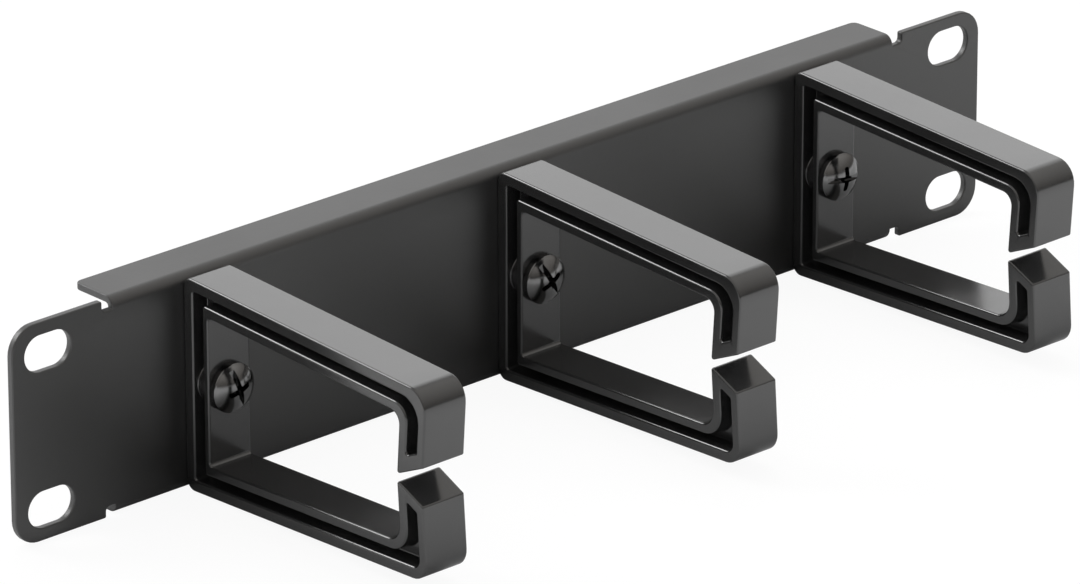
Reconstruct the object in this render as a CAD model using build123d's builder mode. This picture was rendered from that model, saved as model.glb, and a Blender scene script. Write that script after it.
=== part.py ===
"""Horizontal cable manager for a 10 inch rack: a folded steel panel, one rack unit high, that carries
three moulded cable hooks, each on one screw.

Millimetres. The origin is the centre of the four rack slots, on the mounting face at the back of the
ears. +X runs along the panel to the right as seen from the front, +Z is up, and the hooks reach
forwards, towards -Y.
"""

import os
from math import cos, radians, tan

from build123d import *

# Panel, one folded sheet
sheet = 1.5
panel_height = 44.4
slot_span = 236.525
slot_length = 11.2
slot_width = 7.4
slot_to_end = 8.74
slot_to_edge = 6.325
slot_to_flange = 15.76
ear_corner_radius = 5.5
flange_depth = 11.3
bend_radius = 2.2
flange_corner_radius = 1.5
relief_width = 2.5
relief_corner_radius = 0.9
sheet_edge_bevel = 0.25

# Hooks, all three alike
hook_pitch = 80.0
hook_width = 10.4
hook_setback = 0.2
hook_reach = 68.0
arm_taper = 2.4
lip_lean = 4.0
base_thickness = 7.0
arm_thickness = 6.4
lip_thickness = 7.1
mouth_gap = 1.1
mouth_opening = 7.8
hook_rear_radius = 2.2
top_front_radius = 4.5
bottom_front_radius = 4.0
window_rear_radius = 0.8
window_top_radius = 2.4
window_bottom_radius = 3.3
mouth_front_radius = 0.5
mouth_back_radius = 0.3
hook_edge_bevel = 0.25

# Channel moulded into each side of a hook
web_thickness = 3.0
base_rear_rim = 2.6
base_front_rim = 1.7
arm_outer_rim = 2.0
arm_inner_rim = 1.9
lip_outer_rim = 1.8
lip_inner_rim = 2.2
upper_end_wall = 3.1
lower_end_wall = 2.4
channel_top_radius = 5.0
channel_bottom_radius = 1.7
rib_top_radius = 3.5
rib_bottom_radius = 5.0
channel_corner_radius = 0.5

# Screw, washer and nut of each hook
thread_diameter = 5.0
screw_clearance = 0.25
thread_clearance = 0.1
boss_wall = 1.4
screw_length = 16.0
screw_point_chamfer = 0.6
head_diameter = 10.0
head_height = 3.3
head_rim = 1.35
recess_width = 5.2
recess_arm = 1.2
recess_depth = 2.2
recess_taper = 8.0
driver_slot_width = 1.2
driver_slot_depth = 1.3
washer_diameter = 10.0
washer_thickness = 1.0
washer_clearance = 0.15
nut_across_flats = 8.0
nut_height = 4.0
nut_chamfer_angle = 30.0

# Places that follow from the sizes
front_face = -sheet
panel_length = slot_span + 2 * slot_to_end
slot_rise = panel_height - 2 * slot_to_edge
flange_length = slot_span - 2 * slot_to_flange
bend_line = panel_height / 2 - bend_radius
ear_start = flange_length / 2 + relief_width
hole_radius = thread_diameter / 2 + screw_clearance
boss_radius = hole_radius + boss_wall
hook_height = panel_height - 2 * hook_setback
hook_places = {"left": -hook_pitch, "centre": 0.0, "right": hook_pitch}

# How far each screw and each nut ended up turned when it was tightened, in degrees
screw_turns = {"left": 106.0, "centre": 118.0, "right": -5.0}
nut_turns = {"left": 12.0, "centre": 41.0, "right": 24.0}


def loop_corners(base_depth, arm_depth, lip_depth):
    """The rear and front corners, above the middle, of a loop that runs inside the hook's outline.

    It lies base_depth in front of the back, arm_depth below the arm's outer face and lip_depth behind
    the lip's front face, and follows the taper of the arm and the lean of the lip.
    """
    fall = tan(radians(arm_taper))
    lean = tan(radians(lip_lean))
    height = hook_height / 2 - arm_depth / cos(radians(arm_taper))
    reach = hook_reach - lip_depth
    front = (reach + (height - mouth_opening / 2) * lean) / (1 + fall * lean)
    return (base_depth, height - base_depth * fall), (front, height - front * fall)


def lip_point(lip_depth, wall):
    """The point lip_depth behind the lip's front face and wall above the mouth's upper face."""
    lean = tan(radians(lip_lean))
    back_reach = hook_reach - lip_thickness - (mouth_opening - mouth_gap) / 2 * lean
    rise = (mouth_opening - mouth_gap) / 2 / (hook_reach - back_reach)
    start = mouth_gap / 2 + wall * (1 + rise**2) ** 0.5 - back_reach * rise
    reach = (hook_reach - lip_depth + (start - mouth_opening / 2) * lean) / (1 - rise * lean)
    return reach, start + reach * rise


def below(point):
    """The same point on the lower half of the hook."""
    return point[0], -point[1]


def hook_outline():
    """The hook from the side: a loop that is split at its front by the mouth."""
    rear, front = loop_corners(0, 0, 0)
    window_rear, window_front = loop_corners(base_thickness, arm_thickness, lip_thickness)
    mouth_front = lip_point(0, 0)
    mouth_back = lip_point(lip_thickness, 0)
    upper = [rear, front, mouth_front, mouth_back, window_front, window_rear]
    upper_radii = [hook_rear_radius, top_front_radius, mouth_front_radius, mouth_back_radius]
    upper_radii += [window_top_radius, window_rear_radius]
    lower_radii = [window_rear_radius, window_bottom_radius, mouth_back_radius, mouth_front_radius]
    lower_radii += [bottom_front_radius, hook_rear_radius]
    points = upper + [below(point) for point in reversed(upper)]
    FilletPolyline(points, radius=upper_radii + lower_radii, close=True)


def channel_outline():
    """The channel from the side: it follows the hook all round and ends short of the mouth."""
    outer_rear, outer_front = loop_corners(base_rear_rim, arm_outer_rim, lip_outer_rim)
    inner_rear, inner_front = loop_corners(
        base_thickness - base_front_rim, arm_thickness - arm_inner_rim, lip_thickness - lip_inner_rim
    )
    upper_outer_end = lip_point(lip_outer_rim, upper_end_wall)
    upper_inner_end = lip_point(lip_thickness - lip_inner_rim, upper_end_wall)
    lower_outer_end = below(lip_point(lip_outer_rim, lower_end_wall))
    lower_inner_end = below(lip_point(lip_thickness - lip_inner_rim, lower_end_wall))
    corner = channel_corner_radius
    outer = [upper_outer_end, outer_front, outer_rear, below(outer_rear), below(outer_front), lower_outer_end]
    outer_radii = [corner, channel_top_radius, corner, corner, channel_bottom_radius, corner]
    inner = [lower_inner_end, below(inner_front), below(inner_rear), inner_rear, inner_front, upper_inner_end]
    inner_radii = [corner, rib_bottom_radius, corner, corner, rib_top_radius, corner]
    FilletPolyline(outer + inner, radius=outer_radii + inner_radii, close=True)


def is_relief_corner(edge):
    """Whether an edge stands in the inner corner of a relief notch, where a flange ends at an ear."""
    return abs(abs(edge.center().Z) - bend_line) < bend_radius / 2


def blanked_edges(face):
    """The edges of a flat face of the sheet that were cut by the press, without those along a bend."""
    return face.edges().filter_by(lambda edge: edge.length < flange_length / 2)


def side_plane(x):
    """Upright plane through a hook's middle: its first axis points forwards and its second up."""
    return Plane(origin=(x, front_face, 0), x_dir=(0, -1, 0), z_dir=(-1, 0, 0))


def axis_plane(x, y):
    """Level plane through a screw's axis: its first axis points right and its second forwards."""
    return Plane(origin=(x, y, 0), x_dir=(1, 0, 0), z_dir=(0, 0, -1))


def facing_plane(x, y):
    """Upright plane across a screw's axis, which looks forwards."""
    return Plane(origin=(x, y, 0), x_dir=(1, 0, 0), z_dir=(0, -1, 0))


# Panel: a flat sheet with two ears, and a flange folded back from the top and the bottom edge
with BuildPart() as rack_panel:
    with BuildSketch(Plane.XZ):
        Rectangle(panel_length, panel_height)
        with GridLocations(0, panel_height - bend_radius, 1, 2):
            Rectangle(2 * ear_start, bend_radius, mode=Mode.SUBTRACT)
    extrude(amount=sheet)
    upright_edges = rack_panel.edges().filter_by(Axis.Y)
    fillet(upright_edges.group_by(Axis.X)[0] + upright_edges.group_by(Axis.X)[-1], ear_corner_radius)
    relief_edges = rack_panel.edges().filter_by(Axis.Y).filter_by(is_relief_corner)
    fillet(relief_edges, relief_corner_radius)
    for up in (1, -1):
        with BuildSketch(Plane.YZ.offset(-flange_length / 2)):
            with BuildLine():
                bend = JernArc((front_face, up * bend_line), (0, up), bend_radius, -up * 90)
                Line(bend @ 1, (front_face + flange_depth, up * panel_height / 2))
                offset(amount=sheet, side=Side.RIGHT if up > 0 else Side.LEFT)
            make_face()
        extrude(amount=flange_length)
    flange_corners = rack_panel.edges().filter_by(Axis.Z).group_by(Axis.Y)[-1]
    fillet(flange_corners, flange_corner_radius)
    with BuildSketch(Plane.XZ):
        with GridLocations(slot_span, slot_rise, 2, 2):
            SlotOverall(slot_length, slot_width)
        with Locations([(x, 0) for x in hook_places.values()]):
            Circle(hole_radius)
    extrude(amount=sheet, mode=Mode.SUBTRACT)
    for flat_face in rack_panel.faces().filter_by(Axis.Y).sort_by(Axis.Y)[:2]:
        chamfer(blanked_edges(flat_face), sheet_edge_bevel)
rack_panel.part.label = "rack_panel"


def make_hook(x):
    """Moulded hook: a split loop with a channel in both sides and a boss round its screw."""
    with BuildPart() as hook:
        with BuildSketch(side_plane(x)):
            with BuildLine():
                hook_outline()
            make_face()
        extrude(amount=hook_width / 2, both=True)
        side_faces = hook.faces().filter_by(Axis.X)
        chamfer(side_faces.edges(), hook_edge_bevel)
        for side in (1, -1):
            with BuildSketch(side_plane(x).offset(side * hook_width / 2)):
                with BuildLine():
                    channel_outline()
                make_face()
            extrude(amount=-side * (hook_width - web_thickness) / 2, mode=Mode.SUBTRACT)
        with BuildSketch(facing_plane(x, front_face)):
            Circle(boss_radius)
        extrude(amount=base_thickness)
        with BuildSketch(facing_plane(x, front_face)):
            Circle(hole_radius)
        extrude(amount=base_thickness, mode=Mode.SUBTRACT)
    return hook


def make_screw(x, turn):
    """Dome-headed screw with a slot and a cross recess, seated on the front of the hook's base."""
    seat = front_face - base_thickness
    with BuildPart() as screw:
        with BuildSketch(axis_plane(x, seat)):
            with BuildLine():
                Polyline((0, head_height), (0, -screw_length), (thread_diameter / 2, -screw_length))
                Line((thread_diameter / 2, -screw_length), (thread_diameter / 2, 0))
                Polyline((thread_diameter / 2, 0), (head_diameter / 2, 0), (head_diameter / 2, head_rim))
                dome_rise = head_height - head_rim
                dome_radius = ((head_diameter / 2) ** 2 + dome_rise**2) / (2 * dome_rise)
                RadiusArc((head_diameter / 2, head_rim), (0, head_height), -dome_radius)
            make_face()
        revolve(axis=Axis((x, seat, 0), (0, 1, 0)))
        chamfer(screw.edges().sort_by(Axis.Y)[-1], screw_point_chamfer)
        with BuildSketch(facing_plane(x, seat - head_height)):
            Rectangle(recess_width, recess_arm, rotation=turn)
            Rectangle(recess_arm, recess_width, rotation=turn)
        extrude(amount=-recess_depth, taper=recess_taper, mode=Mode.SUBTRACT)
        with BuildSketch(facing_plane(x, seat - head_height)):
            Rectangle(head_diameter, driver_slot_width, rotation=turn)
        extrude(amount=-driver_slot_depth, mode=Mode.SUBTRACT)
    return screw


def make_washer(x):
    """Flat washer on the back of the panel."""
    with BuildPart() as washer:
        with BuildSketch(facing_plane(x, washer_thickness)):
            Circle(washer_diameter / 2)
            Circle(thread_diameter / 2 + washer_clearance, mode=Mode.SUBTRACT)
        extrude(amount=washer_thickness)
    return washer


def make_nut(x, turn):
    """Hexagon nut on the washer, chamfered on both faces as it comes off the lathe."""
    back = washer_thickness + nut_height
    face_radius = nut_across_flats / 2
    corner_radius = face_radius / cos(radians(30))
    chamfer_rise = (corner_radius - face_radius) * tan(radians(nut_chamfer_angle))
    with BuildPart() as nut:
        with BuildSketch(facing_plane(x, back)):
            RegularPolygon(face_radius, 6, major_radius=False, rotation=turn)
            Circle(thread_diameter / 2 + thread_clearance, mode=Mode.SUBTRACT)
        extrude(amount=nut_height)
        with BuildSketch(axis_plane(x, back)):
            with BuildLine():
                Polyline(
                    (0, 0),
                    (face_radius, 0),
                    (corner_radius, chamfer_rise),
                    (corner_radius, nut_height - chamfer_rise),
                    (face_radius, nut_height),
                    (0, nut_height),
                    close=True,
                )
            make_face()
        revolve(axis=Axis((x, back, 0), (0, 1, 0)), mode=Mode.INTERSECT)
    return nut


os.makedirs("parts", exist_ok=True)
export_step(rack_panel.part, "parts/rack_panel.step")
for place, x in hook_places.items():
    pieces = {
        "cable_hook": make_hook(x),
        "hook_screw": make_screw(x, screw_turns[place]),
        "hook_washer": make_washer(x),
        "hook_nut": make_nut(x, nut_turns[place]),
    }
    for name, piece in pieces.items():
        piece.part.label = f"{name}_{place}"
        export_step(piece.part, f"parts/{name}_{place}.step")
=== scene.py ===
"""Dresses the horizontal cable manager for its picture.

The folded panel, the three moulded hooks and their screws, washers and nuts are surfaces worked out
from their sizes. X runs along the panel, Z up, and the hooks reach towards -Y from the panel's front.
The pieces' sizes are in millimetres until a mesh is made. The lamps and the camera are in metres.
"""

from math import cos, pi, radians, sin, sqrt, tan

import bmesh
import bpy
import numpy as np
from mathutils import Matrix, Vector
from mathutils.geometry import delaunay_2d_cdt


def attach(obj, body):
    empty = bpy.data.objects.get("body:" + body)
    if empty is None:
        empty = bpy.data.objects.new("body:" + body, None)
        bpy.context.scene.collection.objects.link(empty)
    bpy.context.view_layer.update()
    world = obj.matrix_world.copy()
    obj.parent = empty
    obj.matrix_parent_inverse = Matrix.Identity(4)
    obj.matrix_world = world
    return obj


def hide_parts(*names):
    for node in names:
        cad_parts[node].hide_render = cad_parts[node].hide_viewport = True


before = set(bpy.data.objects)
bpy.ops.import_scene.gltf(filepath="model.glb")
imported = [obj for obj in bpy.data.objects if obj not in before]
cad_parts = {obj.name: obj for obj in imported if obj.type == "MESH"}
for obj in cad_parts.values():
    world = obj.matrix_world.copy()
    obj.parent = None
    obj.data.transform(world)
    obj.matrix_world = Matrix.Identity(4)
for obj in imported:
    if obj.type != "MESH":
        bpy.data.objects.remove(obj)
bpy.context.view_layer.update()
millimetre = 0.001

# Steps round each corner of an outline, and points along each straight leg of a hook's
corner_steps = 8
leg_steps = 11

# Panel, one folded sheet
sheet = 1.5
panel_height = 44.4
slot_span = 236.525
slot_length = 11.2
slot_width = 7.4
slot_to_end = 8.74
slot_to_edge = 6.325
slot_to_flange = 15.76
ear_corner_radius = 5.5
ear_inner_radius = 0.4
flange_depth = 11.3
bend_radius = 2.2
bend_steps = 12
flange_corner_radius = 1.5
relief_width = 2.5
relief_corner_radius = 0.9
relief_notch_radius = 0.02
sheet_edge_round = 0.3

# Hooks, all three alike
hook_pitch = 80.0
hook_width = 10.4
hook_setback = 0.2
hook_reach = 68.0
arm_taper = 2.4
lip_lean = 4.0
base_thickness = 7.0
arm_thickness = 6.4
lip_thickness = 7.1
mouth_gap = 1.1
mouth_opening = 7.8
hook_rear_radius = 2.2
top_front_radius = 4.5
bottom_front_radius = 4.0
window_rear_radius = 0.8
window_top_radius = 2.4
window_bottom_radius = 3.3
mouth_radius = 0.5
hook_edge_round = 0.42

# Channel moulded into each side of a hook
web_thickness = 3.0
base_rear_rim = 2.6
base_front_rim = 1.55
arm_outer_rim = 2.5
arm_inner_rim = 2.1
lip_outer_rim = 2.05
lip_inner_rim = 2.2
upper_end_wall = 3.1
lower_end_wall = 2.4
channel_corner_radius = 0.5
channel_top_radius = 4.5
channel_bottom_radius = 1.7
rib_rear_radius = 0.7
rib_top_radius = 3.5
rib_bottom_radius = 5.0
channel_edge_round = 0.5
channel_floor_round = 0.35
channel_draft = 0.05

# Screw, washer and nut of each hook
screw_clearance = 0.25
boss_wall = 1.4
thread_diameter = 5.0
thread_clearance = 0.1
thread_pitch = 0.8
thread_depth = 0.49
thread_crest_share = 0.125
thread_flank_share = 0.625
screw_length = 16.0
screw_point_chamfer = 0.6
head_diameter = 10.0
head_height = 3.3
head_rim = 1.35
head_edge_round = 0.2
head_shoulder_round = 0.35
head_shoulder_drop = 0.1225
shoulder_steps = 5
dome_share = 0.96
dome_steps = 22
recess_width = 5.2
recess_arm = 1.2
recess_depth = 2.2
recess_taper = 8.0
recess_inner_radius = 0.12
recess_outer_radius = 0.45
driver_slot_width = 1.2
driver_slot_depth = 1.3
driver_slot_radius = 0.1
cutter_rise = 0.6
cutter_overrun = 1.0
shank_overlap = 0.3
washer_diameter = 10.0
washer_thickness = 1.0
washer_clearance = 0.15
washer_edge_round = 0.15
nut_across_flats = 8.0
nut_height = 4.0
nut_bore_chamfer = 0.25
nut_face_diameter = 7.88
nut_chamfer_angle = 30.0
nut_chamfer_start = 0.01
nut_chamfer_crown = 0.998
nut_edge_in = 0.04
nut_edge_down = 0.06

# Places and sizes that follow from these
panel_length = slot_span + 2 * slot_to_end
slot_rise = panel_height - 2 * slot_to_edge
flange_length = slot_span - 2 * slot_to_flange
bend_line = panel_height / 2 - bend_radius
hook_height = panel_height - 2 * hook_setback
hook_places = {"left": -hook_pitch, "centre": 0.0, "right": hook_pitch}
hole_radius = thread_diameter / 2 + screw_clearance
boss_radius = hole_radius + boss_wall
washer_bore = thread_diameter + 2 * washer_clearance
nut_bore = thread_diameter + 2 * thread_clearance

# How far each screw and each nut ended up turned when it was tightened, in degrees
screw_turns = {"left": 106.0, "centre": 118.0, "right": -5.0}
nut_turns = {"left": 12.0, "centre": 41.0, "right": 24.0}


def grid_faces(rows, columns, rows_wrap=False, columns_wrap=False):
    """Quads between neighbouring points of a grid; a direction that wraps joins its end to its start."""
    down = np.arange(rows if rows_wrap else rows - 1)[:, None]
    along = np.arange(columns if columns_wrap else columns - 1)[None, :]
    next_down = (down + 1) % rows
    next_along = (along + 1) % columns
    corners = [down * columns + along, down * columns + next_along]
    corners += [next_down * columns + next_along, next_down * columns + along]
    return np.stack(corners, axis=-1).reshape(-1, 4).tolist()


def joined(*shells):
    """Several shells, each its points and its faces, as one."""
    points, faces, first = [], [], 0
    for shell_points, shell_faces in shells:
        points.append(shell_points)
        faces += [[first + corner for corner in face] for face in shell_faces]
        first += len(shell_points)
    return np.concatenate(points), faces


def quarter_round(radius, steps=4):
    """How far a rounded edge stands in and down: radius * (1 - sin t) and radius * (1 - cos t)."""
    turn = np.linspace(0, pi / 2, steps + 1)
    return np.stack([radius * (1 - np.sin(turn)), radius * (1 - np.cos(turn))], axis=1)


def rounded_ring(corners, radii, inset, arc_points, leg_points):
    """A closed loop of straight legs and round corners, moved inwards by inset.

    Every leg moves along its own inward normal n, so a corner moves by inset * (n1 + n2) / (1 + n1.n2).
    Its arc then has its radius less the inset where the loop bulges, plus the inset where it is hollow.
    Arc points are the arc's centre plus or minus radius * n at even steps of the turn from n1 to n2.
    Leg points divide what is left between two arcs evenly. Returns corners by points by two.
    """
    corners = np.asarray(corners, float)
    after = np.roll(corners, -1, axis=0)
    ahead = after - corners
    ahead /= np.linalg.norm(ahead, axis=1, keepdims=True)
    spin = np.sign(np.sum(corners[:, 0] * after[:, 1] - corners[:, 1] * after[:, 0]))
    inward = spin * np.stack([-ahead[:, 1], ahead[:, 0]], axis=1)
    before = np.roll(inward, 1, axis=0)
    middle = (inward + before) / (1 + np.sum(inward * before, axis=1, keepdims=True))
    swing = before[:, 0] * inward[:, 1] - before[:, 1] * inward[:, 0]
    turn = np.arctan2(swing, np.sum(before * inward, axis=1))
    bulge = np.sign(turn * spin)
    radius = np.asarray(radii) - bulge * inset
    centre = corners + middle * (inset + bulge * radius)[:, None]
    start = np.arctan2(before[:, 1], before[:, 0])
    angle = start[:, None] + turn[:, None] * np.linspace(0, 1, arc_points + 1)
    arm = (bulge * radius)[:, None, None]
    arcs = centre[:, None, :] - arm * np.stack([np.cos(angle), np.sin(angle)], axis=-1)
    leg_start = arcs[:, -1]
    leg_end = np.roll(arcs[:, 0], -1, axis=0)
    share = (np.arange(leg_points) + 1)[None, :, None] / (leg_points + 1)
    legs = leg_start[:, None] + share * (leg_end - leg_start)[:, None]
    return np.concatenate([arcs, legs], axis=1)


def turned_shell(radius, forward, around=72, closed_profile=False):
    """A profile turned about the screw's axis: (radius * cos t, -forward, radius * sin t).

    Where the profile starts or ends on the axis, the shell has a single point there.
    """
    radius = np.asarray(radius, float)
    forward = np.asarray(forward, float)
    turn = 2 * pi * np.arange(around) / around
    body = radius > 0
    across = radius[body][:, None] * np.cos(turn)
    up = radius[body][:, None] * np.sin(turn)
    back = np.broadcast_to(-forward[body][:, None], across.shape)
    points = np.stack([across, back, up], axis=-1).reshape(-1, 3)
    rows = int(body.sum())
    faces = grid_faces(rows, around, rows_wrap=closed_profile, columns_wrap=True)
    edge = np.arange(around)
    for pole, first_row in ((0, 0), (-1, (rows - 1) * around)):
        if radius[pole] > 0:
            continue
        tip = len(points)
        points = np.concatenate([points, [[0.0, -forward[pole], 0.0]]])
        ring = first_row + edge
        faces += np.stack([np.full(around, tip), ring, np.roll(ring, -1)], axis=1).tolist()
    return points, faces


def prism_shell(corners, radii, rows, arc_points=3):
    """A loop carried from one depth to the next, each row (inset, forward), and closed at both ends."""
    points = []
    for inset, forward in rows:
        ring = rounded_ring(corners, radii, inset, arc_points, 0).reshape(-1, 2)
        size = len(ring)
        points.append(np.stack([ring[:, 0], np.full(size, -forward), ring[:, 1]], axis=1))
    last = (len(rows) - 1) * size
    ends = [list(range(size)), list(range(last, last + size))]
    return np.concatenate(points), grid_faces(len(rows), size, columns_wrap=True) + ends


def spun(points, degrees):
    """Points turned about the screw's axis, anticlockwise as seen from the front."""
    turn = radians(degrees)
    across = points[:, 0] * cos(turn) - points[:, 2] * sin(turn)
    up = points[:, 0] * sin(turn) + points[:, 2] * cos(turn)
    return np.stack([across, points[:, 1], up], axis=1)


def add_mesh(name, shell):
    """An object at the origin with this shell as its mesh, its faces turned outwards."""
    points, faces = shell
    mesh = bpy.data.meshes.new(name)
    mesh.from_pydata((np.asarray(points) * millimetre).tolist(), [], faces)
    outward = bmesh.new()
    outward.from_mesh(mesh)
    bmesh.ops.recalc_face_normals(outward, faces=outward.faces)
    outward.to_mesh(mesh)
    outward.free()
    piece = bpy.data.objects.new(name, mesh)
    bpy.context.scene.collection.objects.link(piece)
    return piece


def cut_away(piece, *cutters):
    """Takes the cutters' space out of a piece and keeps the result as its mesh."""
    for cutter in cutters:
        cut = piece.modifiers.new("cut", "BOOLEAN")
        cut.operation = "DIFFERENCE"
        cut.solver = "EXACT"
        cut.object = cutter
    kept = bpy.data.meshes.new_from_object(piece.evaluated_get(bpy.context.evaluated_depsgraph_get()))
    piece.modifiers.clear()
    piece.data = kept
    for cutter in cutters:
        bpy.data.objects.remove(cutter)


def finish_piece(piece, node, material, sharp_angle=35.0):
    """Gives a piece its smooth faces, its material and its place in the frame.

    Large faces keep their own direction next to the rounded edges.
    """
    mesh = piece.data
    mesh.shade_smooth()
    mesh.set_sharp_from_angle(angle=radians(sharp_angle))
    level = piece.modifiers.new("even_faces", "WEIGHTED_NORMAL")
    level.mode = "FACE_AREA"
    level.weight = 60
    level.keep_sharp = True
    mesh.materials.clear()
    mesh.materials.append(material)
    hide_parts(node)
    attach(piece, "root")


# Panel
def blank_outline():
    """Corners and corner radii of the flat blank, anticlockwise from the right ear's upper corner."""
    ear_end = panel_length / 2
    ear_start = flange_length / 2 + relief_width
    top = panel_height / 2
    flange_end = flange_length / 2
    flange_edge = bend_line + bend_radius * pi / 2 + flange_depth - bend_radius
    quarter = [(ear_end, top), (ear_start, top), (ear_start, bend_line), (flange_end, bend_line)]
    quarter += [(flange_end, flange_edge)]
    radii = [ear_corner_radius, ear_inner_radius, relief_corner_radius, relief_notch_radius]
    radii += [flange_corner_radius]
    upper_left = [(-across, up) for across, up in reversed(quarter)]
    lower_left = [(-across, -up) for across, up in quarter]
    lower_right = [(across, -up) for across, up in reversed(quarter)]
    return quarter + upper_left + lower_left + lower_right, (radii + radii[::-1]) * 2


def blank_ring(inset):
    """The blank's outline moved in by inset, with a point at every step of a bend.

    The outline has 20 corners. The upper flange's ends are the legs after its corners 3 and 5, and the
    lower flange's ends are the legs ten corners on.
    """
    corners, radii = blank_outline()
    ring = rounded_ring(corners, radii, inset, corner_steps, bend_steps)
    bend_marks = bend_line + bend_radius * pi / 2 * (np.arange(bend_steps) + 1) / bend_steps
    for corner, marks in ((3, bend_marks), (5, bend_marks[::-1])):
        ring[corner, -bend_steps:, 1] = marks
        ring[corner + 10, -bend_steps:, 1] = -marks
    return ring


def slot_ring(across, up, half_straight, radius, steps=24):
    """A slot's outline: two half circles joined by straight runs.

    Each is the slot's centre plus or minus (half_straight + radius * cos t, radius * sin t).
    """
    turn = np.linspace(-pi / 2, pi / 2, steps + 1)
    reach = radius * np.cos(turn)
    rise = radius * np.sin(turn)
    right = np.stack([across + half_straight + reach, up + rise], axis=1)
    left = np.stack([across - half_straight - reach, up - rise], axis=1)
    return np.concatenate([right, left])


def hole_ring(across, radius, steps=48):
    """A circle about a hook's screw: (across + radius * cos t, radius * sin t)."""
    turn = 2 * pi * np.arange(steps) / steps
    return np.stack([across + radius * np.cos(turn), radius * np.sin(turn)], axis=1)


def folded(across, up, depth):
    """The flat blank folded back along both bends.

    Up to the bend line a point stays in the sheet's plane, depth behind its front. Past it the point
    goes round the bend's centre at bend_radius - depth, by an angle of its way past the line over
    bend_radius, and after a quarter turn it runs straight back.
    """
    past = np.abs(up) - bend_line
    turned = (np.abs(across) < flange_length / 2 + relief_width / 4) & (past > 0)
    angle = np.clip(past / bend_radius, 0, pi / 2)
    straight = np.maximum(past - bend_radius * pi / 2, 0)
    radius = bend_radius - depth
    behind = np.where(turned, bend_radius - radius * np.cos(angle) + straight, depth)
    height = np.where(turned, np.sign(up) * (bend_line + radius * np.sin(angle)), up)
    return np.stack([across, behind - sheet, height], axis=1)


def rack_panel_shell():
    """The panel: rims carried round the outline, slots and holes, and the two faces between them.

    Both faces are the same triangles of the flat blank, then folded. The triangles keep to straight
    lines that run from end to end of each flange at every step of its bend.
    """
    tolerance = 1e-7
    edge = quarter_round(sheet_edge_round)
    rim_rows = [(inset, depth) for inset, depth in edge]
    rim_rows += [(inset, sheet - depth) for inset, depth in edge[::-1]]
    straight = (slot_length - slot_width) / 2
    loops = [lambda inset: blank_ring(inset).reshape(-1, 2)]
    for across in (-slot_span / 2, slot_span / 2):
        for up in (-slot_rise / 2, slot_rise / 2):
            loops.append(lambda inset, x=across, z=up: slot_ring(x, z, straight, slot_width / 2 + inset))
    for across in hook_places.values():
        loops.append(lambda inset, x=across: hole_ring(x, hole_radius + inset))

    points, faces, flat_loops, first = [], [], [], 0
    for loop in loops:
        size = len(loop(0))
        for inset, depth in rim_rows:
            ring = loop(inset)
            points.append(folded(ring[:, 0], ring[:, 1], np.full(size, depth)))
        band = grid_faces(len(rim_rows), size, columns_wrap=True)
        faces += [[first + corner for corner in face] for face in band]
        back = first + (len(rim_rows) - 1) * size
        flat_loops.append((loop(sheet_edge_round), np.arange(size) + first, np.arange(size) + back))
        first += len(rim_rows) * size

    flat_points = np.concatenate([ring for ring, _, _ in flat_loops])
    front_index = np.concatenate([front for _, front, _ in flat_loops])
    back_index = np.concatenate([back for _, _, back in flat_loops])
    edges, start = [], 0
    for ring, _, _ in flat_loops:
        size = len(ring)
        edges += [(start + k, start + (k + 1) % size) for k in range(size)]
        start += size
    stride = corner_steps + 1 + bend_steps
    for right, left in ((3, 5), (15, 13)):
        right_marks = [right * stride + corner_steps + k for k in range(bend_steps + 1)]
        left_marks = [(left + 1) * stride - k for k in range(bend_steps + 1)]
        edges += list(zip(right_marks, left_marks))
    blank = delaunay_2d_cdt([Vector(point) for point in flat_points], edges, [], 1, tolerance)
    _, _, blank_faces, origins, _, _ = blank
    source = np.array([origin[0] for origin in origins])
    triangles = source[np.array(blank_faces)]
    middle = flat_points[triangles].mean(axis=1)
    wide = slot_width / 2 + sheet_edge_round
    reach = np.abs(np.abs(middle[:, 0]) - slot_span / 2) - straight
    slots = np.hypot(np.maximum(reach, 0), np.abs(middle[:, 1]) - slot_rise / 2) < wide
    holes = np.zeros(len(middle), bool)
    for across in hook_places.values():
        holes |= np.hypot(middle[:, 0] - across, middle[:, 1]) < hole_radius + sheet_edge_round
    triangles = triangles[~(slots | holes)]
    faces += front_index[triangles].tolist() + back_index[triangles][:, ::-1].tolist()
    return np.concatenate(points), faces


# Hooks
def loop_corners(base_depth, arm_depth, lip_depth):
    """The rear and front corners, above the middle, of a loop that runs inside the hook's outline.

    The arm's line falls by tan(arm_taper) of its way forwards. The lip's line is at hook_reach at the
    mouth, and leans forwards by tan(lip_lean) of its height above it. The front corner is where the
    two meet.
    """
    fall = tan(radians(arm_taper))
    lean = tan(radians(lip_lean))
    height = hook_height / 2 - arm_depth / cos(radians(arm_taper))
    reach = hook_reach - lip_depth
    front = (reach + (height - mouth_opening / 2) * lean) / (1 + fall * lean)
    return (base_depth, height - base_depth * fall), (front, height - front * fall)


def lip_point(lip_depth, wall):
    """The point lip_depth behind the lip's front face and wall above the mouth's upper face.

    The mouth's face rises from half of mouth_gap at the lip's back to half of mouth_opening at its
    front. That line, moved up by wall * sqrt(1 + rise^2), meets the lip's own line in this point.
    """
    lean = tan(radians(lip_lean))
    back_reach = hook_reach - lip_thickness - (mouth_opening - mouth_gap) / 2 * lean
    rise = (mouth_opening - mouth_gap) / 2 / (hook_reach - back_reach)
    start = mouth_gap / 2 + wall * sqrt(1 + rise**2) - back_reach * rise
    reach = (hook_reach - lip_depth + (start - mouth_opening / 2) * lean) / (1 - rise * lean)
    return reach, start + reach * rise


def below(point):
    """The same point on the lower half of the hook."""
    return point[0], -point[1]


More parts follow.
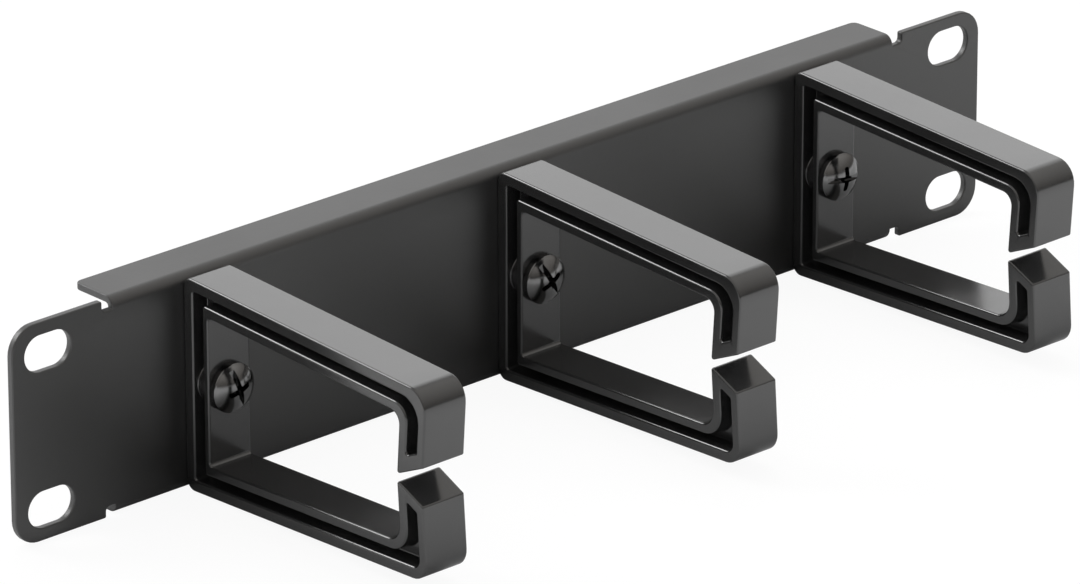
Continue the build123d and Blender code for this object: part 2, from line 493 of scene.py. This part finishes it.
def loop_ring(outer, inner, radii, inset):
    """A loop from the upper mouth end round the outside of the hook and back along its inside.

    outer and inner each give end, front and rear corners of the upper half, then the lower half's end.
    The upright legs of the base, after corners 2 and 8, take their points where the boss's curve needs
    them: at boss_radius * sin t, for even steps of t between the places where the boss meets the web.
    """
    upper_end, front, rear, lower_end = outer
    corners = [upper_end, front, rear, below(rear), below(front), lower_end]
    upper_end, front, rear, lower_end = inner
    corners += [lower_end, below(front), below(rear), rear, front, upper_end]
    ring = rounded_ring(corners, radii, inset, corner_steps, leg_steps)
    crest = np.arccos(web_thickness / 2 / boss_radius)
    boss_marks = boss_radius * np.sin(np.linspace(crest, -crest, leg_steps))
    ring[2, -leg_steps:, 1] = boss_marks
    ring[8, -leg_steps:, 1] = boss_marks[::-1]
    return ring.reshape(-1, 2)


def outline_ring(inset):
    """The hook's outline from the side, with the mouth's bevelled faces."""
    rear, front = loop_corners(0, 0, 0)
    window_rear, window_front = loop_corners(base_thickness, arm_thickness, lip_thickness)
    mouth_front = lip_point(0, 0)
    mouth_back = lip_point(lip_thickness, 0)
    outer = (mouth_front, front, rear, below(mouth_front))
    inner = (mouth_back, window_front, window_rear, below(mouth_back))
    radii = [mouth_radius, top_front_radius, hook_rear_radius, hook_rear_radius, bottom_front_radius]
    radii += [mouth_radius, mouth_radius, window_bottom_radius, window_rear_radius, window_rear_radius]
    radii += [window_top_radius, mouth_radius]
    return loop_ring(outer, inner, radii, inset)


def channel_ring(inset):
    """The channel's edge from the side: it follows the hook all round and ends short of the mouth."""
    rib_base = base_thickness - base_front_rim
    rib_arm = arm_thickness - arm_inner_rim
    rib_lip = lip_thickness - lip_inner_rim
    outer_rear, outer_front = loop_corners(base_rear_rim, arm_outer_rim, lip_outer_rim)
    inner_rear, inner_front = loop_corners(rib_base, rib_arm, rib_lip)
    upper_outer = lip_point(lip_outer_rim, upper_end_wall)
    upper_inner = lip_point(rib_lip, upper_end_wall)
    lower_outer = below(lip_point(lip_outer_rim, lower_end_wall))
    lower_inner = below(lip_point(rib_lip, lower_end_wall))
    outer = (upper_outer, outer_front, outer_rear, lower_outer)
    inner = (upper_inner, inner_front, inner_rear, lower_inner)
    end = channel_corner_radius
    radii = [end, channel_top_radius, end, end, channel_bottom_radius, end]
    radii += [end, rib_bottom_radius, rib_rear_radius, rib_rear_radius, rib_top_radius, end]
    return loop_ring(outer, inner, radii, inset)


def floor_height(ring):
    """How far the channel's floor stands from the hook's middle.

    That is half the web, or in the base the boss's sqrt(boss_radius^2 - height^2) where it is more.
    """
    boss = np.sqrt(np.maximum(boss_radius**2 - ring[:, 1] ** 2, 0))
    in_base = ring[:, 0] < base_thickness
    return np.where(in_base, np.maximum(web_thickness / 2, boss), web_thickness / 2)


def side_points(ring, across):
    """A ring drawn from the side as points of the hook: (across, -forward, up)."""
    return np.stack([np.broadcast_to(across, len(ring)), -ring[:, 0], ring[:, 1]], axis=1)


def cable_hook_shell(place):
    """The moulded hook: a rim all round, two side faces, and a channel sunk into each.

    The rim is the outline carried across the width, drawn in by the quarter round at both edges.
    A side face joins the outline to the channel's edge point by point. The channel's wall goes down
    from a small quarter round to a hollow one at the floor, and the floor joins the channel's outer
    run to its inner run.
    """
    half = hook_width / 2
    edge = quarter_round(hook_edge_round)
    rim_rows = [(inset, half - depth) for inset, depth in edge]
    rim_rows += [(inset, depth - half) for inset, depth in edge[::-1]]
    points = [side_points(outline_ring(inset), across) for inset, across in rim_rows]
    size = len(points[0])
    faces = grid_faces(len(rim_rows), size, columns_wrap=True)
    first = len(rim_rows) * size

    lip_rows = [(-inset, depth) for inset, depth in quarter_round(channel_edge_round)]
    foot_rows = quarter_round(channel_floor_round)[::-1]
    run = corner_steps + 1 + leg_steps
    arc = corner_steps + 1
    for side, rim_start in ((1, 0), (-1, (len(rim_rows) - 1) * size)):
        rows = [side_points(channel_ring(inset), half - depth) for inset, depth in lip_rows]
        for inset, rise in foot_rows:
            ring = channel_ring(channel_draft + inset)
            rows.append(side_points(ring, floor_height(ring) + rise))
        points.append(np.concatenate(rows) * (side, 1, 1))
        along = np.arange(size)
        after = (along + 1) % size
        side_face = [rim_start + along, rim_start + after, first + after, first + along]
        faces += np.stack(side_face, axis=1).tolist()
        wall = grid_faces(len(rows), size, columns_wrap=True)
        faces += [[first + corner for corner in face] for face in wall]
        floor_start = first + (len(rows) - 1) * size
        count = 5 * run + arc
        outer = floor_start + np.arange(count)
        inner = floor_start + 6 * run + np.arange(count)[::-1]
        strip = np.stack([outer[:-1], outer[1:], inner[1:], inner[:-1]], axis=1).tolist()
        lower_leg = list(range(floor_start + count, floor_start + 6 * run))
        upper_leg = list(range(floor_start + 11 * run + arc, floor_start + 12 * run))
        # The short legs that close the channel above and below the mouth belong to its two end faces
        strip[-1] = [outer[-2], outer[-1], *lower_leg, inner[-1], inner[-2]]
        strip[0] = [outer[0], outer[1], inner[1], inner[0], *upper_leg]
        faces += strip
        first += len(rows) * size
    points = np.concatenate(points) + (hook_places[place], -sheet, 0)
    return points, [[int(corner) for corner in face] for face in faces]


def make_hook(place, material):
    """One hook with the screw's hole bored through its base."""
    hook = add_mesh(f"moulded_hook_{place}", cable_hook_shell(place))
    start, end = -cutter_overrun, base_thickness + cutter_overrun
    points, faces = turned_shell([0, hole_radius, hole_radius, 0], [start, start, end, end])
    bore = add_mesh("bore", (points + (hook_places[place], -sheet, 0), faces))
    cut_away(hook, bore)
    finish_piece(hook, f"cable_hook_{place}", material)


# Screws, washers and nuts
def screw_head_shell():
    """The dome head: a flat seat, a low rim, a rounded shoulder and a cap.

    The cap's sphere has the radius (r^2 + rise^2) / (2 * rise), r being the head's own.
    """
    radius = head_diameter / 2
    rise = head_height - head_rim
    dome_radius = (radius**2 + rise**2) / (2 * rise)
    low_edge = quarter_round(head_edge_round)
    profile = [(0, 0)] + [(radius - inset, depth) for inset, depth in low_edge]
    slope = np.arcsin(radius / dome_radius)
    shoulder_turn = np.linspace(pi / 2, pi / 2 - slope, shoulder_steps)
    centre = radius - head_shoulder_round
    level = head_rim - head_shoulder_drop
    for t in shoulder_turn:
        profile.append((centre + head_shoulder_round * sin(t), level + head_shoulder_round * cos(t)))
    for t in np.linspace(slope * dome_share, 0, dome_steps):
        profile.append((dome_radius * sin(t), head_height - dome_radius + dome_radius * cos(t)))
    profile = np.array(profile)
    profile[-1, 0] = 0
    return turned_shell(profile[:, 0], profile[:, 1], around=96)


def screw_shank_shell(around=48, rows_per_pitch=12):
    """The threaded shank.

    s is how far a point at turn t and depth d is from the crest line, as a share of half a pitch. The
    line is d = pitch * (t / 2 pi + a half + a whole number). The radius is less than the crest's by
    thread_depth * (s - crest share) / flank share, kept from 0 to thread_depth, and the point's cone
    cuts it off.
    """
    rows = int(screw_length / thread_pitch * rows_per_pitch)
    depth = np.linspace(-shank_overlap, screw_length, rows + 1)[:, None]
    turn = 2 * pi * np.arange(around)[None, :] / around
    from_crest = np.abs((depth / thread_pitch - turn / (2 * pi)) % 1 - 0.5) * 2
    slope = np.clip((from_crest - thread_crest_share) / thread_flank_share, 0, 1)
    radius = thread_diameter / 2 - thread_depth * slope
    point = thread_diameter / 2 - screw_point_chamfer + np.maximum(screw_length - depth, 0)
    radius = np.minimum(radius, point)
    along = np.broadcast_to(depth, radius.shape)
    grid = np.stack([radius * np.cos(turn), along, radius * np.sin(turn)], axis=-1)
    points = grid.reshape(-1, 3)
    faces = grid_faces(rows + 1, around, columns_wrap=True)
    faces += [list(range(around)), list(range(rows * around, (rows + 1) * around))]
    return points, faces


def recess_tools():
    """The two cutters of the head's recess: a tapered cross, and the driver slot across the whole head."""
    arm, half = recess_arm / 2, recess_width / 2
    cross = [(arm, arm), (arm, half), (-arm, half), (-arm, arm), (-half, arm), (-half, -arm)]
    cross += [(-arm, -arm), (-arm, -half), (arm, -half), (arm, -arm), (half, -arm), (half, arm)]
    slope = tan(radians(recess_taper))
    above = head_height + cutter_rise
    cross_rows = [(-cutter_rise * slope, above), (recess_depth * slope, head_height - recess_depth)]
    cross_radii = [recess_inner_radius, recess_outer_radius, recess_outer_radius] * 4
    cross_tool = add_mesh("cross_tool", prism_shell(cross, cross_radii, cross_rows))
    length, width = head_diameter / 2 + cutter_overrun, driver_slot_width / 2
    slot = [(length, -width), (length, width), (-length, width), (-length, -width)]
    slot_rows = [(0, above), (0, head_height - driver_slot_depth)]
    slot_tool = add_mesh("slot_tool", prism_shell(slot, [driver_slot_radius] * 4, slot_rows))
    return slot_tool, cross_tool


def make_screw(place, material):
    """One screw, its recess turned as the screw ended up when it was tightened."""
    seat = (hook_places[place], -sheet - base_thickness, 0)
    head = add_mesh(f"dome_screw_{place}", screw_head_shell())
    cut_away(head, *recess_tools())
    points = np.zeros(len(head.data.vertices) * 3)
    head.data.vertices.foreach_get("co", points)
    head_faces = [list(polygon.vertices) for polygon in head.data.polygons]
    head_points = points.reshape(-1, 3) / millimetre
    bpy.data.objects.remove(head)
    points, faces = joined((head_points, head_faces), screw_shank_shell())
    screw = add_mesh(f"dome_screw_{place}", (spun(points, screw_turns[place]) + seat, faces))
    finish_piece(screw, f"hook_screw_{place}", material, sharp_angle=32.0)


def make_washer(place, material):
    """One flat washer: a rectangle with rounded corners, turned about the screw's axis."""
    edge = quarter_round(washer_edge_round, steps=3)
    outer, bore = washer_diameter / 2, washer_bore / 2
    profile = [(outer - inset, depth) for inset, depth in edge]
    profile += [(outer - inset, washer_thickness - depth) for inset, depth in edge[::-1]]
    profile += [(bore + inset, washer_thickness - depth) for inset, depth in edge]
    profile += [(bore + inset, depth) for inset, depth in edge[::-1]]
    profile = np.array(profile)
    points, faces = turned_shell(profile[:, 0], profile[:, 1], around=96, closed_profile=True)
    seat = (hook_places[place], washer_thickness, 0)
    washer = add_mesh(f"flat_washer_{place}", (points + seat, faces))
    finish_piece(washer, f"hook_washer_{place}", material)


def make_nut(place, material, around=96):
    """One hexagon nut.

    At turn t its flats stand at r(t) = across_flats / 2 / cos(t less the nearest flat's middle), and
    the chamfer's cone meets them (r(t) - across_flats / 2) * tan(chamfer angle) from each face.
    """
    turn = 2 * pi * np.arange(around) / around
    from_flat = (turn + pi / 6) % (pi / 3) - pi / 6
    flat = nut_across_flats / 2
    rim = flat / np.cos(from_flat)
    fall = (rim - flat) * tan(radians(nut_chamfer_angle))
    ones = np.ones(around)
    bore = nut_bore / 2
    half = [(bore * ones, nut_bore_chamfer * ones), ((bore + nut_bore_chamfer) * ones, 0 * ones)]
    half += [(nut_face_diameter / 2 * ones, 0 * ones)]
    half += [((flat + rim) / 2 * nut_chamfer_crown, fall / 2 + nut_chamfer_start)]
    half += [(rim - nut_edge_in, fall + nut_chamfer_start), (rim, fall + nut_edge_down)]
    rows = half + [(radius, nut_height - level) for radius, level in reversed(half)]
    radius = np.array([row[0] for row in rows])
    level = np.array([row[1] for row in rows])
    points = np.stack([radius * np.cos(turn), level, radius * np.sin(turn)], axis=-1).reshape(-1, 3)
    faces = grid_faces(len(rows), around, rows_wrap=True, columns_wrap=True)
    seat = (hook_places[place], washer_thickness, 0)
    nut = add_mesh(f"hexagon_nut_{place}", (spun(points, nut_turns[place]) + seat, faces))
    finish_piece(nut, f"hook_nut_{place}", material, sharp_angle=24.0)


# Finishes
def new_group(name, inputs, outputs):
    """An empty shader node group with its sockets, and its two end nodes."""
    group = bpy.data.node_groups.new(name, "ShaderNodeTree")
    for label, value in inputs.items():
        socket = group.interface.new_socket(label, in_out="INPUT", socket_type="NodeSocketFloat")
        socket.default_value = value
    for label in outputs:
        group.interface.new_socket(label, in_out="OUTPUT", socket_type="NodeSocketFloat")
    return group, group.nodes.new("NodeGroupInput"), group.nodes.new("NodeGroupOutput")


def plug(tree, socket, value):
    """Links a socket to another one, or gives it a plain value."""
    if isinstance(value, bpy.types.NodeSocket):
        tree.links.new(value, socket)
    else:
        socket.default_value = value


def scaled_noise(tree, coordinates, scale, detail, roughness=0.5):
    """A noise texture on the object's own coordinates, its scale a socket in cells per metre."""
    noise = tree.nodes.new("ShaderNodeTexNoise")
    noise.inputs["Detail"].default_value = detail
    noise.inputs["Roughness"].default_value = roughness
    tree.links.new(coordinates, noise.inputs["Vector"])
    tree.links.new(scale, noise.inputs["Scale"])
    return noise.outputs["Fac"]


def arithmetic(tree, operation, first, second, third=None):
    """A Math node on sockets or plain numbers."""
    node = tree.nodes.new("ShaderNodeMath")
    node.operation = operation
    for number, value in enumerate((first, second, third)):
        if value is not None:
            plug(tree, node.inputs[number], value)
    return node.outputs[0]


def mapped(tree, value, start, end, low=0.0, high=1.0, smooth=False):
    """A value taken from the span start to end to the span low to high, evenly or eased at both ends."""
    node = tree.nodes.new("ShaderNodeMapRange")
    node.interpolation_type = "SMOOTHSTEP" if smooth else "LINEAR"
    spans = {"From Min": start, "From Max": end, "To Min": low, "To Max": high}
    for label, number in spans.items():
        node.inputs[label].default_value = number
    tree.links.new(value, node.inputs["Value"])
    return node.outputs["Result"]


def opaque(shade):
    """A grey or a colour, without transparency."""
    return (*shade, 1.0) if isinstance(shade, tuple) else (shade, shade, shade, 1.0)


def blended(tree, factor, first, second):
    """The first colour where the factor is 0 and the second where it is 1, each a socket or a colour."""
    mix = tree.nodes.new("ShaderNodeMix")
    mix.data_type = "RGBA"
    plug(tree, mix.inputs["Factor"], factor)
    plug(tree, mix.inputs["A"], first)
    plug(tree, mix.inputs["B"], second)
    return mix.outputs["Result"]


def colour_ramp(tree, factor, stops):
    """Colours spread over a factor, as (position, grey or colour) stops."""
    ramp = tree.nodes.new("ShaderNodeValToRGB")
    elements = ramp.color_ramp.elements
    while len(elements) < len(stops):
        elements.new(0.5)
    for element, (position, shade) in zip(elements, stops):
        element.position = position
        element.color = opaque(shade)
    tree.links.new(factor, ramp.inputs["Fac"])
    return ramp.outputs["Color"]


def make_surface_grain():
    """Fine grain plus waviness times a wider, softer wave, for the height of a bump."""
    sockets = {"Grain per metre": 2000.0, "Waves per metre": 400.0, "Waviness": 0.5}
    group, given, result = new_group("surface_grain", sockets, ["Height"])
    surface = group.nodes.new("ShaderNodeTexCoord").outputs["Object"]
    grain = scaled_noise(group, surface, given.outputs["Grain per metre"], detail=2.0, roughness=0.6)
    waves = scaled_noise(group, surface, given.outputs["Waves per metre"], detail=1.0)
    height = arithmetic(group, "MULTIPLY_ADD", waves, given.outputs["Waviness"], grain)
    group.links.new(height, result.inputs["Height"])
    return group


def make_handling_marks():
    """Uneven gloss from handling: soft patches, and specks of dust in the middle of a few small cells."""
    speck_radius = 0.07
    bare_share = 0.93
    sockets = {"Patches per metre": 40.0, "Specks per metre": 900.0}
    group, given, result = new_group("handling_marks", sockets, ["Patches", "Specks"])
    surface = group.nodes.new("ShaderNodeTexCoord").outputs["Object"]
    patches = scaled_noise(group, surface, given.outputs["Patches per metre"], detail=4.0, roughness=0.62)
    cells = group.nodes.new("ShaderNodeTexVoronoi")
    cells.feature = "F1"
    group.links.new(surface, cells.inputs["Vector"])
    group.links.new(given.outputs["Specks per metre"], cells.inputs["Scale"])
    near = arithmetic(group, "LESS_THAN", cells.outputs["Distance"], speck_radius)
    chance = group.nodes.new("ShaderNodeSeparateColor")
    group.links.new(cells.outputs["Color"], chance.inputs["Color"])
    rare = arithmetic(group, "GREATER_THAN", chance.outputs["Red"], bare_share)
    specks = arithmetic(group, "MULTIPLY", near, rare)
    group.links.new(patches, result.inputs["Patches"])
    group.links.new(specks, result.inputs["Specks"])
    return group


def make_finish(name, shades, roughness, grain, bump, marks, **shader_values):
    """A finish from its shades, its gloss range, its grain and its handling marks.

    shades are the two that the patches run between, and the dust's. bump is the grain's height in
    millimetres. grain and marks are the values of the two groups' sockets, in their order.
    """
    low, high, dusty = shades
    shade_start, shade_end = 0.35, 0.7
    gloss_start, gloss_end = 0.3, 0.7
    material = bpy.data.materials.new(name)
    material.use_nodes = True
    tree = material.node_tree
    shader = tree.nodes["Principled BSDF"]
    for socket, value in shader_values.items():
        shader.inputs[socket.replace("_", " ")].default_value = value
    texture = tree.nodes.new("ShaderNodeGroup")
    texture.node_tree = surface_grain
    for number, value in enumerate(grain):
        texture.inputs[number].default_value = value
    wear = tree.nodes.new("ShaderNodeGroup")
    wear.node_tree = handling_marks
    for number, value in enumerate(marks):
        wear.inputs[number].default_value = value
    lift = tree.nodes.new("ShaderNodeBump")
    lift.inputs["Strength"].default_value = 1.0
    lift.inputs["Distance"].default_value = bump * millimetre
    tree.links.new(texture.outputs["Height"], lift.inputs["Height"])
    tree.links.new(lift.outputs["Normal"], shader.inputs["Normal"])
    base = colour_ramp(tree, wear.outputs["Patches"], [(shade_start, low), (shade_end, high)])
    dusted = blended(tree, wear.outputs["Specks"], base, opaque(dusty))
    tree.links.new(dusted, shader.inputs["Base Color"])
    gloss = mapped(tree, wear.outputs["Patches"], gloss_start, gloss_end, *roughness)
    tree.links.new(gloss, shader.inputs["Roughness"])
    return material


surface_grain = make_surface_grain()
handling_marks = make_handling_marks()
panel_paint = make_finish(
    "black_powder_coat",
    shades=(0.007, 0.011, 0.022),
    roughness=(0.445, 0.49),
    grain=(1500.0, 520.0, 0.8),
    bump=0.009,
    marks=(36.0, 700.0),
    Specular_IOR_Level=1.0,
)
hook_plastic = make_finish(
    "moulded_black_plastic",
    shades=(0.014, 0.019, 0.03),
    roughness=(0.15, 0.22),
    grain=(3200.0, 260.0, 0.6),
    bump=0.005,
    marks=(60.0, 900.0),
    Specular_IOR_Level=0.85,
)
screw_black = make_finish(
    "black_oxide_steel",
    shades=(0.13, 0.18, 0.24),
    roughness=(0.13, 0.2),
    grain=(4200.0, 900.0, 0.5),
    bump=0.003,
    marks=(160.0, 1600.0),
    Metallic=1.0,
)
zinc_plate = make_finish(
    "bright_zinc",
    shades=((0.5, 0.52, 0.56), (0.62, 0.63, 0.64), 0.35),
    roughness=(0.24, 0.38),
    grain=(2600.0, 700.0, 0.7),
    bump=0.006,
    marks=(220.0, 1500.0),
    Metallic=1.0,
)


# Floor, light and camera
def mixed_shaders(tree, factor, first, second):
    """The first shader where the factor is 0 and the second where it is 1."""
    mix = tree.nodes.new("ShaderNodeMixShader")
    for socket, source in zip(mix.inputs, (factor, first, second)):
        tree.links.new(source, socket)
    return mix.outputs[0]


def make_floor():
    """A wide pale floor, level with the panel's lower edge. From below it isn't seen.

    The camera sees it nearly white. Mirrors see a painted shadow on it below and behind the hooks: by
    under, which grows from 0 to 1 going back, times beside, which changes along the panel.
    """
    half = 4000.0
    level = -panel_height / 2
    under_start, under_end = -0.11, -0.06
    beside_start, beside_end = -0.125, 0.175
    # How deep the painted shadow under the hooks is, at each share of the way along the panel
    painted_shadow_along = [(0.0, 0.0), (0.09, 0.28), (0.17, 0.4), (0.78, 0.4), (0.98, 0.25)]
    matt_shade = 0.9
    camera_white = 0.93
    corners = np.array([(-half, -half), (half, -half), (half, half), (-half, half)])
    points = np.column_stack([corners, np.full(4, level)]) * millimetre
    mesh = bpy.data.meshes.new("floor")
    mesh.from_pydata(points.tolist(), [], [[0, 1, 2, 3]])
    floor = bpy.data.objects.new("floor", mesh)
    bpy.context.scene.collection.objects.link(floor)

    material = bpy.data.materials.new("white_floor")
    material.use_nodes = True
    tree = material.node_tree
    tree.nodes.clear()
    rays = tree.nodes.new("ShaderNodeLightPath")
    surface = tree.nodes.new("ShaderNodeTexCoord")
    spot = tree.nodes.new("ShaderNodeSeparateXYZ")
    tree.links.new(surface.outputs["Object"], spot.inputs["Vector"])
    under = mapped(tree, spot.outputs["Y"], under_start, under_end, smooth=True)
    along = mapped(tree, spot.outputs["X"], beside_start, beside_end)
    beside = colour_ramp(tree, along, painted_shadow_along)
    # Painted shadow: mirrors see the floor darker below and behind the hooks, where the part would shade
    # it
    painted_shadow = arithmetic(tree, "MULTIPLY", under, beside)
    painted_shadow = arithmetic(tree, "MULTIPLY", painted_shadow, rays.outputs["Is Glossy Ray"])
    matt = tree.nodes.new("ShaderNodeBsdfDiffuse")
    tree.links.new(colour_ramp(tree, painted_shadow, [(0.0, matt_shade), (1.0, 0.0)]), matt.inputs["Color"])
    white = tree.nodes.new("ShaderNodeEmission")
    white_share = arithmetic(tree, "MULTIPLY", rays.outputs["Is Camera Ray"], camera_white)
    pale = mixed_shaders(tree, white_share, matt.outputs[0], white.outputs[0])
    clear = tree.nodes.new("ShaderNodeBsdfTransparent")
    facing = tree.nodes.new("ShaderNodeNewGeometry")
    whole = mixed_shaders(tree, facing.outputs["Backfacing"], pale, clear.outputs[0])
    output = tree.nodes.new("ShaderNodeOutputMaterial")
    tree.links.new(whole, output.inputs["Surface"])
    mesh.materials.append(material)


def make_world():
    """A white room that lights the part evenly.

    Mirrors see the room behind the part, white and greyer towards the ceiling, and before the part a
    dim, warm wall that grows lighter with its height. A height is the sine of its angle.
    """
    wall_end, behind_start = 0.1, 0.55
    ceiling_start, ceiling_end = sin(radians(28.0)), sin(radians(48.0))
    ceiling_shade = 0.25
    even_shade = 0.5
    wall_shades = [(0.0, (0.2, 0.19, 0.18)), (0.12, (0.32, 0.3, 0.28))]
    wall_shades += [(0.4, (0.6, 0.57, 0.54)), (0.78, (0.95, 0.92, 0.88))]
    world = bpy.data.worlds.new("white_room")
    world.use_nodes = True
    tree = world.node_tree
    surroundings = tree.nodes.new("ShaderNodeTexCoord")
    direction = tree.nodes.new("ShaderNodeSeparateXYZ")
    tree.links.new(surroundings.outputs["Generated"], direction.inputs["Vector"])
    height = direction.outputs["Z"]
    ceiling = mapped(tree, height, ceiling_start, ceiling_end, 1.0, ceiling_shade, smooth=True)
    wall = colour_ramp(tree, height, wall_shades)
    behind = mapped(tree, direction.outputs["Y"], wall_end, behind_start, smooth=True)
    room = blended(tree, behind, wall, ceiling)
    rays = tree.nodes.new("ShaderNodeLightPath")
    mirrored = blended(tree, rays.outputs["Is Glossy Ray"], opaque(even_shade), room)
    seen = arithmetic(tree, "MAXIMUM", rays.outputs["Is Camera Ray"], rays.outputs["Is Transmission Ray"])
    background = tree.nodes["Background"]
    background.inputs["Strength"].default_value = 1.0
    tree.links.new(blended(tree, seen, mirrored, opaque(1.0)), background.inputs["Color"])
    bpy.context.scene.world = world


def add_softbox(name, place, size, power, aim=(0, 0, 0), mirrored=True):
    """A soft lamp of size (width, height) at a place, facing aim. Mirrors may leave it out."""
    lamp = bpy.data.lights.new(name, "AREA")
    lamp.shape = "RECTANGLE"
    lamp.size, lamp.size_y = size
    lamp.energy = power
    softbox = bpy.data.objects.new(name, lamp)
    softbox.location = place
    softbox.rotation_euler = (Vector(aim) - Vector(place)).to_track_quat("-Z", "Y").to_euler()
    softbox.visible_camera = False
    softbox.visible_glossy = mirrored
    bpy.context.scene.collection.objects.link(softbox)


def make_camera():
    """The photograph's viewpoint: a long lens, high on the left in front of the part.

    azimuth, from +X, and elevation point back along the lens. They and roll are in degrees.
    """
    azimuth, elevation, roll = -132.26743, 22.42209, -0.11818
    lens = bpy.data.cameras.new("photo_camera")
    lens.sensor_width = 36.0
    lens.lens = 301.19
    camera = bpy.data.objects.new("photo_camera", lens)
    pose = Matrix.Translation((-1.097725, -1.215897, 0.670279))
    for degrees, axis in ((azimuth + 90, "Z"), (90 - elevation, "X"), (roll, "Z")):
        pose = pose @ Matrix.Rotation(radians(degrees), 4, axis)
    camera.matrix_world = pose
    bpy.context.scene.collection.objects.link(camera)
    bpy.context.scene.camera = camera


# Pieces in their places
panel = add_mesh("folded_panel", rack_panel_shell())
finish_piece(panel, "rack_panel", panel_paint)
for place in hook_places:
    make_hook(place, hook_plastic)
    make_screw(place, screw_black)
    make_washer(place, zinc_plate)
    make_nut(place, zinc_plate)

# Their surroundings
make_floor()
make_world()
add_softbox("overhead", (0.25, 0.45, 1.25), size=(1.2, 1.2), power=11.0, mirrored=False)
add_softbox("rear_window", (1.0, 1.1, 0.92), size=(1.7, 0.9), power=4.6)
add_softbox("rear_lamp", (-0.6, 1.1, 1.0), size=(0.7, 0.7), power=13.0)
right_end = (0.12, -0.1, 0)
add_softbox("right_window", (0.75, -0.5, 0.45), size=(0.6, 0.5), power=2.5, aim=right_end, mirrored=False)
make_camera()
bpy.context.scene.view_settings.view_transform = "Standard"
